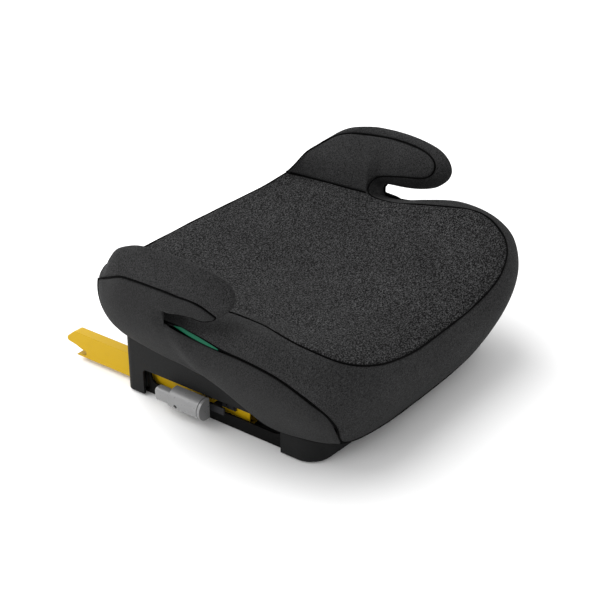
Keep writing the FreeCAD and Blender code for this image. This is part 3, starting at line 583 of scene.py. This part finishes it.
def side_panel(name, side):
    """Smooth side of the cover, with the horn's lower face; the belt slot parts the two."""
    def dense(rows):
        rows = resample(np.array(rows, float), STEP)
        return arc(rows[:, :3], rows[:, 3:6], rows[:, 6:], FINE, packed=False)

    end = SLOT_END[name]
    low_count, gap_count, high_count = 17, 4, 8
    low, gap, high = [], [], []
    for line in dense(SIDE_REAR + [row for row in SLOT_COVER if row[1] >= end]):
        top = min(LIP_HEIGHT, line[-1, 2] - LIP_CLEAR)
        stops = [int(np.searchsorted(line[:, 2], level)) for level in (top, top + SLOT_GAP)]
        low.append(line[:stops[0] + 1])
        gap.append(line[stops[0]:stops[1] + 1])
        high.append(line[stops[1]:])
    low, high = (np.concatenate([walk(np.array([piece]), count) for piece in part])
                 for part, count in ((low, low_count), (high, high_count)))
    gap = np.concatenate([walk(np.array([piece]), gap_count, packed=False) for piece in gap])
    gap[:, 0], gap[:, -1] = low[:, -1], high[:, 0]
    fore, horn = (walk(dense([row for row in rows if row[1] <= end + 1]), count)
                  for rows, count in ((SIDE_FRONT, low_count), (HORN_FACE, high_count)))
    follow(fore, low[-1])
    follow(horn, high[-1])
    grids = [low, gap, high, fore, horn]
    for grid in grids:
        away = np.hypot(grid[..., 1] - end, grid[..., 2] - SLOT_HEIGHT)
        grid[..., 0] -= DRAW_DEPTH * np.exp(-(away / DRAW_REACH) ** 2)
    grids = grids if side > 0 else [mirrored(g) for g in grids]
    for grid in grids:
        left_hand(grid)
        right_hand(grid)
    SEAM_LINES[f"seam_corner_{name}"] = np.concatenate([grid[0] for grid in grids[:3]])
    return new_object(f"side_cover_{name}", *grid_mesh(grids), outward_from((side * 120, -40, 110)))


def follow(grid, first):
    """Lets the grid's first rows ease from another grid's last row into their own shape."""
    run = share(grid[:, grid.shape[1] // 2])[:, None]
    length = np.linalg.norm(np.diff(grid[:, grid.shape[1] // 2], axis=0), axis=1).sum()
    fade = (0.5 + 0.5 * np.cos(math.pi * np.clip(run * length / EASE, 0, 1)))[..., None]
    grid += fade * (first - grid[0])[None]


def back_panel():
    rows = np.array(BACK, float)
    twin = rows[1:].copy()
    twin[:, ::3] *= -1
    rows = resample(np.vstack([twin[::-1], rows]), 6.0, slice(3, 6))
    grid = arc(rows[:, :3], rows[:, 3:6], rows[:, 6:], 11)
    SEAM_LINES["seam_back"] = grid[:, -1]
    return new_object("back_cover", *grid_mesh([grid]), outward_from((0, 0, 100)))


def lining():
    """Strip that closes the cover underneath, from its hem in to the housing."""
    rows = np.array(LINING, float)
    twin = rows[1:-1].copy()
    twin[:, ::3] *= -1
    loop = resample(np.vstack([rows, twin[::-1], rows[:1]]), 7.0)
    t = np.array([-0.02, 0.12, 0.35, 0.65, 1.0])[None, :, None]
    outer, inner = loop[:, None, :3], loop[:, None, 3:]
    grid = outer + (inner - outer) * t
    grid[:, :, 2] += 1.2 * np.sin(np.pi * np.clip(t[..., 0], 0, 1))
    return new_object("hem_lining", *grid_mesh([grid]), lambda p: np.tile([0, 0, -1.0], (len(p), 1)))


def gather(obj, end):
    """Small folds that fan out where the side panel is drawn into the belt slot's end."""
    points, normals = coords(obj.data) / MM, point_normals(obj.data)
    dy, dz = points[:, 1] - end, points[:, 2] - SLOT_HEIGHT
    reach = np.hypot(dy, dz)
    fan = np.cos(FOLDS * np.arctan2(dz, dy) + FOLD_TURN)
    near = np.exp(-((reach - FOLD_REACH) / FOLD_REACH) ** 2) * np.clip((dy + 3) / 5, 0, 1)
    set_coords(obj.data, (points + normals * (FOLD_HEIGHT * fan * near)[:, None]) * MM)


def ripple(obj, size, height, seed):
    """Faint unevenness of hand-fitted cloth over foam."""
    rng = np.random.default_rng(seed)
    points, normals = coords(obj.data), point_normals(obj.data)
    total = np.zeros(len(points))
    for _ in range(9):
        direction = rng.normal(size=3)
        direction /= np.linalg.norm(direction)
        wave = size * rng.uniform(0.7, 1.8)
        total += np.sin(points @ direction * (2 * math.pi / wave) + rng.uniform(0, 6.28))
    set_coords(obj.data, points + normals * (total * height / 3)[:, None])


# ---------------------------------------------------------------- materials

class Paint:
    """A node material, built one node at a time from the surface's own coordinates."""

    def __init__(self, name):
        self.material = bpy.data.materials.new(name)
        self.material.use_nodes = True
        self.nodes, self.links = self.material.node_tree.nodes, self.material.node_tree.links
        self.shader = self.nodes["Principled BSDF"]
        self.place = self.nodes.new("ShaderNodeTexCoord").outputs["Object"]

    def feed(self, target, value):
        if isinstance(value, bpy.types.NodeSocket):
            self.links.new(value, target)
        else:
            target.default_value = value

    def add(self, kind, inputs=(), **settings):
        node = self.nodes.new(kind)
        for key, value in settings.items():
            setattr(node, key, value)
        for key, value in dict(inputs).items():
            self.feed(node.inputs[key], value)
        return node

    def noise(self, scale, detail=2.0, where=None, rough=0.55):
        node = self.add("ShaderNodeTexNoise", {"Vector": where or self.place, "Scale": scale,
                                               "Detail": detail, "Roughness": rough})
        return node.outputs["Fac"]

    def stretch(self, scale, turn=(0, 0, 0)):
        return self.add("ShaderNodeMapping", {"Vector": self.place, "Scale": scale,
                                              "Rotation": turn}).outputs["Vector"]

    def range(self, value, low, high, to_low=0.0, to_high=1.0):
        node = self.add("ShaderNodeMapRange", {"Value": value, "From Min": low, "From Max": high,
                                               "To Min": to_low, "To Max": to_high})
        return node.outputs["Result"]

    def math(self, operation, a, b=0.0):
        node = self.add("ShaderNodeMath", operation=operation)
        self.feed(node.inputs[0], a)
        self.feed(node.inputs[1], b)
        return node.outputs[0]

    def mix(self, factor, a, b):
        node = self.add("ShaderNodeMix", data_type="RGBA")
        self.feed(node.inputs["Factor"], factor)
        for socket, value in ((node.inputs[6], a), (node.inputs[7], b)):
            self.feed(socket, (*value, 1) if isinstance(value, tuple) else value)
        return node.outputs[2]

    def bump(self, height, depth, strength=1.0, under=None):
        node = self.add("ShaderNodeBump", {"Height": height, "Distance": depth, "Strength": strength})
        if under:
            self.feed(node.inputs["Normal"], under)
        return node.outputs["Normal"]

    def corners(self, radius):
        """Normals that round a sharp edge off by this radius."""
        return self.add("ShaderNodeBevel", {"Radius": radius}, samples=4).outputs["Normal"]

    def edges(self, radius):
        """1 on the object's worn edges, 0 on its flats."""
        rounded = self.corners(radius)
        flat = self.add("ShaderNodeNewGeometry").outputs["Normal"]
        meet = self.add("ShaderNodeVectorMath", {0: rounded, 1: flat}, operation="DOT_PRODUCT")
        return self.range(meet.outputs["Value"], 0.995, 0.85)

    def done(self, colour, roughness, normal=None, **uniform):
        self.feed(self.shader.inputs["Base Color"], colour)
        self.feed(self.shader.inputs["Roughness"], roughness)
        if normal:
            self.feed(self.shader.inputs["Normal"], normal)
        for key, value in uniform.items():
            self.shader.inputs[key.replace("_", " ")].default_value = value
        return self.material


STUDIO = 1.35   # the studio light on a white surface, where 1 would just show as white


def grey(level, tint=(1.0, 1.0, 1.0)):
    """Linear colour that shows as this 8-bit screen grey in the studio light."""
    value = level / 255
    linear = value / 12.92 if value <= 0.04045 else ((value + 0.055) / 1.055) ** 2.4
    return tuple(linear * t / STUDIO for t in tint)


def heather(name, dark, light, yarn, tones, nap):
    """Melange cloth: two-tone yarns in a plain weave, with soft fibres and a faint sheen; broad lighter and
    darker patches are partly a slow drift in the yarn's tone, partly painted shading of the padding's
    undulations.
    """
    p = Paint(name)
    flecks = p.noise(1 / (yarn * 1.25), 2.5, p.stretch((1.0, 0.55, 1.0)), 0.65)
    cross = p.noise(1 / (yarn * 1.6), 1.5, p.stretch((0.45, 1.0, 0.7), (0.2, 0.1, 0.6)), 0.6)
    # Broad tone patches: partly the yarn's slow colour drift, partly painted shade of the puffy padding.
    drift_and_undulation_shade = p.noise(13, 3.0)
    mixed = p.math("ADD", p.math("MULTIPLY", flecks, 0.6), p.math("MULTIPLY", cross, 0.4))
    tone = p.range(mixed, *tones)
    shade = p.range(drift_and_undulation_shade, 0.3, 0.7, 0.86, 1.14)
    colour = p.mix(tone, dark, light)
    bright = p.add("ShaderNodeHueSaturation", {"Color": colour, "Value": shade}).outputs["Color"]
    waves = []
    for turn in ((0, 0, 0), (0, 0, math.pi / 2)):
        wave = p.add("ShaderNodeTexWave", {"Vector": p.stretch((1, 1, 1), turn), "Scale": 0.314 / yarn,
                                           "Distortion": 1.2, "Detail": 1.0, "Detail Scale": 2.0},
                     bands_direction="DIAGONAL")
        waves.append(wave.outputs["Fac"])
    weave = p.math("MAXIMUM", *waves)
    height = p.math("ADD", p.math("MULTIPLY", weave, 0.5), mixed)
    normal = p.bump(height, yarn * 0.5, 0.75, p.bump(p.noise(60, 2.0), 0.0012, 0.35))
    return p.done(bright, p.range(mixed, 0.3, 0.7, 0.98, 0.84), normal, Sheen_Weight=nap,
                  Sheen_Roughness=0.5, Specular_IOR_Level=0.08)


def moulded(name, colour, rough, grain=0.00025, grain_size=0.0009, wear=0.12, gloss=0.3, corner=0.0006):
    """Moulded plastic: spark-eroded grain, slow shade drift and edges rubbed a little lighter."""
    p = Paint(name)
    cells = p.add("ShaderNodeTexVoronoi", {"Vector": p.place, "Scale": 1 / grain_size},
                  feature="SMOOTH_F1").outputs["Distance"]
    drift = p.noise(22, 3.0)
    pale = tuple(min(1.0, c * 1.6 + 0.02) for c in colour)
    deep = tuple(c * 0.86 for c in colour)
    base = p.mix(drift, deep, colour)
    worn = p.math("MULTIPLY", p.edges(corner * 1.4), p.range(p.noise(140, 3.0), 0.35, 0.75, 0.1, wear * 2))
    normal = p.bump(cells, grain, 0.6, p.corners(corner))
    return p.done(p.mix(worn, base, pale), p.range(p.noise(400, 2.0), 0.3, 0.7, rough - 0.05, rough + 0.06),
                  normal, Specular_IOR_Level=gloss)


def metal(name, colour, rough, brushed=(1, 1, 1), wear=0.25, metallic=1.0, corner=0.0004):
    """Plated or drawn metal: fine directional scratches, dull blotches and bright edges."""
    p = Paint(name)
    lines = p.noise(1400, 3.0, p.stretch(brushed))
    stain = p.noise(70, 4.0)
    base = p.mix(p.range(stain, 0.35, 0.7), tuple(c * 0.78 for c in colour), colour)
    worn = p.math("MULTIPLY", p.edges(corner * 1.5), wear)
    tone = p.mix(worn, base, tuple(min(1.0, c * 1.5 + 0.05) for c in colour))
    normal = p.bump(lines, 0.00008, 0.35, p.corners(corner))
    return p.done(tone, p.range(stain, 0.3, 0.7, rough - 0.06, rough + 0.1), normal, Metallic=metallic)


def powder_coat(name, colour):
    """Powder-coated steel: fine orange peel, a soft gloss and edges where the coat runs thin."""
    p = Paint(name)
    peel = p.noise(650, 2.0)
    drift = p.noise(16, 3.0)
    base = p.mix(drift, tuple(c * t for c, t in zip(colour, (0.93, 0.88, 0.7))), colour)
    scuffs = p.math("MULTIPLY", p.range(p.noise(90, 5.0, p.stretch((1, 0.15, 1))), 0.66, 0.74), 0.25)
    worn = p.math("MAXIMUM", scuffs, p.math("MULTIPLY", p.edges(0.0007), 0.28))
    normal = p.bump(peel, 0.00012, 0.4, p.corners(0.0006))
    dull = tuple(c * 0.72 for c in colour)
    return p.done(p.mix(worn, base, dull), p.range(peel, 0.3, 0.7, 0.34, 0.46), normal,
                  Specular_IOR_Level=0.12)


def thread(name, colour):
    """Twisted sewing thread: a tight diagonal twist and stray lighter fibres. Its near-black tone is partly
    the thread's own dye and partly painted shadow of the seam's ditch.
    """
    p = Paint(name)
    twist = p.add("ShaderNodeTexWave", {"Vector": p.stretch((1, 1, 1), (0.5, 0.7, 0.3)), "Scale": 500,
                                        "Distortion": 0.6}, bands_direction="DIAGONAL").outputs["Fac"]
    tone = p.mix(p.range(p.noise(900, 2.0), 0.35, 0.7), colour, tuple(c * 1.9 for c in colour))
    return p.done(tone, 0.9, p.bump(twist, 0.0002, 0.8), Specular_IOR_Level=0.04)


FINISH = {
    "cushion cloth": heather("seat_heather", grey(1), grey(84, (1, 1, 1.02)), 0.0007, (0.47, 0.61), 0.005),
    "band cloth": heather("cover_heather", grey(10), grey(68, (1, 1, 1.02)), 0.0006, (0.36, 0.66), 0.01),
    "side cloth": heather("side_knit", grey(28), grey(56, (1, 1, 1.02)), 0.0006, (0.35, 0.65), 0.02),
    "back cloth": heather("back_knit", grey(26), grey(52, (1, 1, 1.02)), 0.0006, (0.35, 0.65), 0.02),
    "lining cloth": heather("lining_tricot", grey(18), grey(30), 0.0005, (0.3, 0.7), 0.01),
    # Seam line colour: dark thread plus painted shadow of the seam's ditch.
    "thread": thread("seam_thread_and_shadow", grey(4)),
    "belt_green": moulded("guide_green", (0.0022, 0.085, 0.043), 0.5, 0.0001, 0.0012, 0.05, 0.15),
    "housing_plastic": moulded("housing_plastic", grey(25, (0.98, 1, 1.03)), 0.56, wear=0.04, gloss=0.12),
    "tray_plastic": moulded("tray_plastic", grey(7), 0.6, wear=0.03, gloss=0.08),
    "screw_steel": metal("zinc_plate", (0.5, 0.5, 0.52), 0.38),
    "pad_rubber": moulded("pad_rubber", grey(20), 0.82, 0.0003, 0.0016, 0.05),
    "shell_plastic": moulded("shell_plastic", grey(36), 0.6),
    "clip_plastic": moulded("clip_plastic", grey(34), 0.5, 0.0001),
    "guide_plastic": moulded("guide_plastic", grey(30), 0.45, 0.0001),
    "arm_yellow": powder_coat("arm_yellow", (0.48, 0.305, 0.005)),
    "pin_steel": metal("pin_steel", (0.55, 0.55, 0.56), 0.3),
    "handle_grey": moulded("handle_grey", grey(138, (1, 1, 1.01)), 0.32, 0.00006, 0.0007, 0.1, 0.8, 0.0008),
    "bracket_steel": metal("bracket_steel", (0.035, 0.035, 0.038), 0.5, wear=0.2),
    "spring_steel": metal("spring_steel", (0.42, 0.42, 0.44), 0.32),
    "hook_steel": metal("hook_steel", (0.022, 0.016, 0.013), 0.55, (1, 0.2, 1), 0.2, 0.5),
    "rod_steel": metal("rod_steel", (0.5, 0.5, 0.52), 0.34, (1, 0.1, 1)),
}


def paint(obj, finish):
    obj.data.materials.clear()
    obj.data.materials.append(FINISH[finish])


# ---------------------------------------------------------------- build the object

def keep(obj, finish, slot, *stands_for):
    """Gives a finished piece its material and its body, and hides the CAD nodes it stands for."""
    paint(obj, finish)
    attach(obj, "root")
    if stands_for:
        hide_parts(*stands_for)
    return obj


SEAM_RADIUS = 0.9 * MM
SEAM_DEPTH = {"seam_back": 0.95}   # share of the ditch that the line sinks in; 0.3 for the rest


def seams(panels):
    """Dark piped line along each seam, in the ditch its two panels make: partly the thread, partly painted
    shadow of the ditch.

    panels holds every panel's points before and after its edges were turned in.
    """
    before, after = (np.vstack(part) for part in zip(*panels))
    tree = KDTree(len(before))
    for i, spot in enumerate(before):
        tree.insert(spot, i)
    tree.balance()
    made = []
    for name, line in SEAM_LINES.items():
        points = line[np.append(True, np.linalg.norm(np.diff(line, axis=0), axis=1) > 0.2)] * MM
        depth = SEAM_DEPTH.get(name, 0.3)
        sunk = []
        for point in points:
            near = [hit[1] for hit in tree.find_range(point, 1.2 * MM)]
            near = near or [tree.find(point)[1]]
            sunk.append(before[near[0]] + depth * (after - before)[near].mean(axis=0))
        sunk = np.array(sunk)
        for _ in range(2):
            sunk[1:-1] = (sunk[:-2] + 2 * sunk[1:-1] + sunk[2:]) / 4
        made.append(tube(name, sunk, SEAM_RADIUS))
    return made


def build_cover():
    """Every panel with its cap on movement and its cloth pressure, then the seams and the lining."""
    seat, band, back = seat_panel(), band_panel(), back_panel()
    inner = {name: inner_panel(name, side) for name, side in SIDES.items()}
    sides = {name: side_panel(name, side) for name, side in SIDES.items()}
    panels = [(seat, 4.5 * MM, 2.2), (band, 1.6 * MM, 1.2), (back, 2.5 * MM, 1.5)]
    panels += [(obj, 2.5 * MM, 1.5) for obj in inner.values()]
    panels += [(obj, 1.2 * MM, 0.8) for obj in sides.values()]
    for index, (obj, _, _) in enumerate(panels):
        ripple(obj, RIPPLE_SIZE, RIPPLE_HEIGHT, RIPPLE_SEED + index)
    for name in SIDES:
        gather(sides[name], SLOT_END[name])
    pieces = [(obj, cap, edge_distance(obj.data)) for obj, cap, _ in panels]
    for (obj, _, away), (_, _, pressure) in zip(pieces, panels):
        add_cloth(obj, away, pressure)
    run_cloth(pieces)
    shapes = []
    for obj, _, _ in panels:
        flat = coords(obj.data)
        turn_in(obj)
        shapes.append((flat, coords(obj.data)))
        thicken(obj)
    for obj in seams(shapes):
        keep(obj, "thread", "cover_fabric")
    keep(seat, "cushion cloth", "seat_fabric", "seat_cushion")
    keep(band, "band cloth", "cover_fabric", "front_bolster")
    keep(back, "back cloth", "cover_fabric")
    for name in SIDES:
        keep(inner[name], "band cloth", "armrest_fabric", f"armrest_pad_{name}", f"armrest_core_{name}")
        keep(sides[name], "side cloth", "side_fabric", f"side_bolster_{name}")
    under = lining()
    thicken(under, 0.8 * MM)
    keep(under, "lining cloth", "cover_fabric")


def build_guides():
    """Green crescents that mark where the lap belt goes, under each armrest."""
    for name, side in SIDES.items():
        rows = resample(np.array(GUIDE, float), 3.0)
        low, high = rows[:, :3], rows[:, 3:]
        bulge = (low + high) / 2 + np.array([0.5, 0, 0])
        grid = arc(low, bulge, high, 6, packed=False)
        grid = grid if side > 0 else mirrored(grid)
        left_hand(grid)
        obj = new_object(f"guide_crescent_{name}", *grid_mesh([grid]),
                         lambda p, side=side: np.tile([side * 1.0, 0, 0], (len(p), 1)))
        thicken(obj)
        keep(obj, "belt_green", "belt_green", f"belt_guide_{name}")


build_cover()
build_guides()

# Pins and screws that are coated together with what they hold.
COATED = {"hook_pin": "arm_yellow", "pawl_pin": "arm_yellow", "bracket_screws": "bracket_steel"}

for part in frame["record"]["subparts"]:
    node = frame["nodes"].get(part["node"])
    if node and not node.hide_render and part["material_slot"] in FINISH:
        coated = COATED.get(part["node"].rsplit("_", 1)[0])
        paint(node, coated or part["material_slot"])

# ---------------------------------------------------------------- floor, light and camera

floor_mesh = bpy.data.meshes.new("floor")
reach = 6.0
floor_mesh.from_pydata([(-reach, -reach, 0), (reach, -reach, 0), (reach, reach, 0), (-reach, reach, 0)],
                       [], [(0, 1, 2, 3)])
floor = bpy.data.objects.new("floor", floor_mesh)
bpy.context.scene.collection.objects.link(floor)
floor.location.z = -0.0004
chalk = Paint("floor_white")
floor.data.materials.append(chalk.done(chalk.mix(chalk.noise(3.0), (0.9, 0.9, 0.9), (0.93, 0.93, 0.93)), 0.7))


def softbox(name, place, target, size, power):
    lamp = bpy.data.lights.new(name, "AREA")
    lamp.shape, lamp.size, lamp.size_y, lamp.energy = "RECTANGLE", size[0], size[1], power
    obj = bpy.data.objects.new(name, lamp)
    bpy.context.scene.collection.objects.link(obj)
    obj.location = place
    obj.rotation_euler = (Vector(target) - Vector(place)).to_track_quat("-Z", "Y").to_euler()


sun = bpy.data.lights.new("overhead", "SUN")
sun.energy, sun.angle = 2.1, 1.1
overhead = bpy.data.objects.new("overhead", sun)
bpy.context.scene.collection.objects.link(overhead)
overhead.rotation_euler = Vector((0.2, -0.62, -1.0)).to_track_quat("-Z", "Y").to_euler()
softbox("side", (-1.8, 0.5, 0.8), (0, 0, 0.1), (1.0, 1.0), 8)
softbox("rim", (0.3, 1.7, 1.2), (0, 0, 0.1), (1.4, 0.8), 16)

world = bpy.data.worlds.new("studio")
world.use_nodes = True
world.node_tree.nodes["Background"].inputs["Color"].default_value = (1, 1, 1, 1)
world.node_tree.nodes["Background"].inputs["Strength"].default_value = 0.9
bpy.context.scene.world = world
bpy.context.scene.view_settings.view_transform = "Standard"

AZIMUTH, ELEVATION, DISTANCE = math.radians(-53.3), math.radians(27.6), 1.5
target = Vector((0.0443, 0.022, 0.0529))
back = Vector((math.sin(AZIMUTH) * math.cos(ELEVATION), -math.cos(AZIMUTH) * math.cos(ELEVATION),
               math.sin(ELEVATION)))
eye = bpy.data.cameras.new("camera")
eye.lens, eye.sensor_width = 79.3, 36
camera = bpy.data.objects.new("camera", eye)
bpy.context.scene.collection.objects.link(camera)
camera.location = target + back * DISTANCE
camera.rotation_euler = (-back).to_track_quat("-Z", "Y").to_euler()
bpy.context.scene.camera = camera
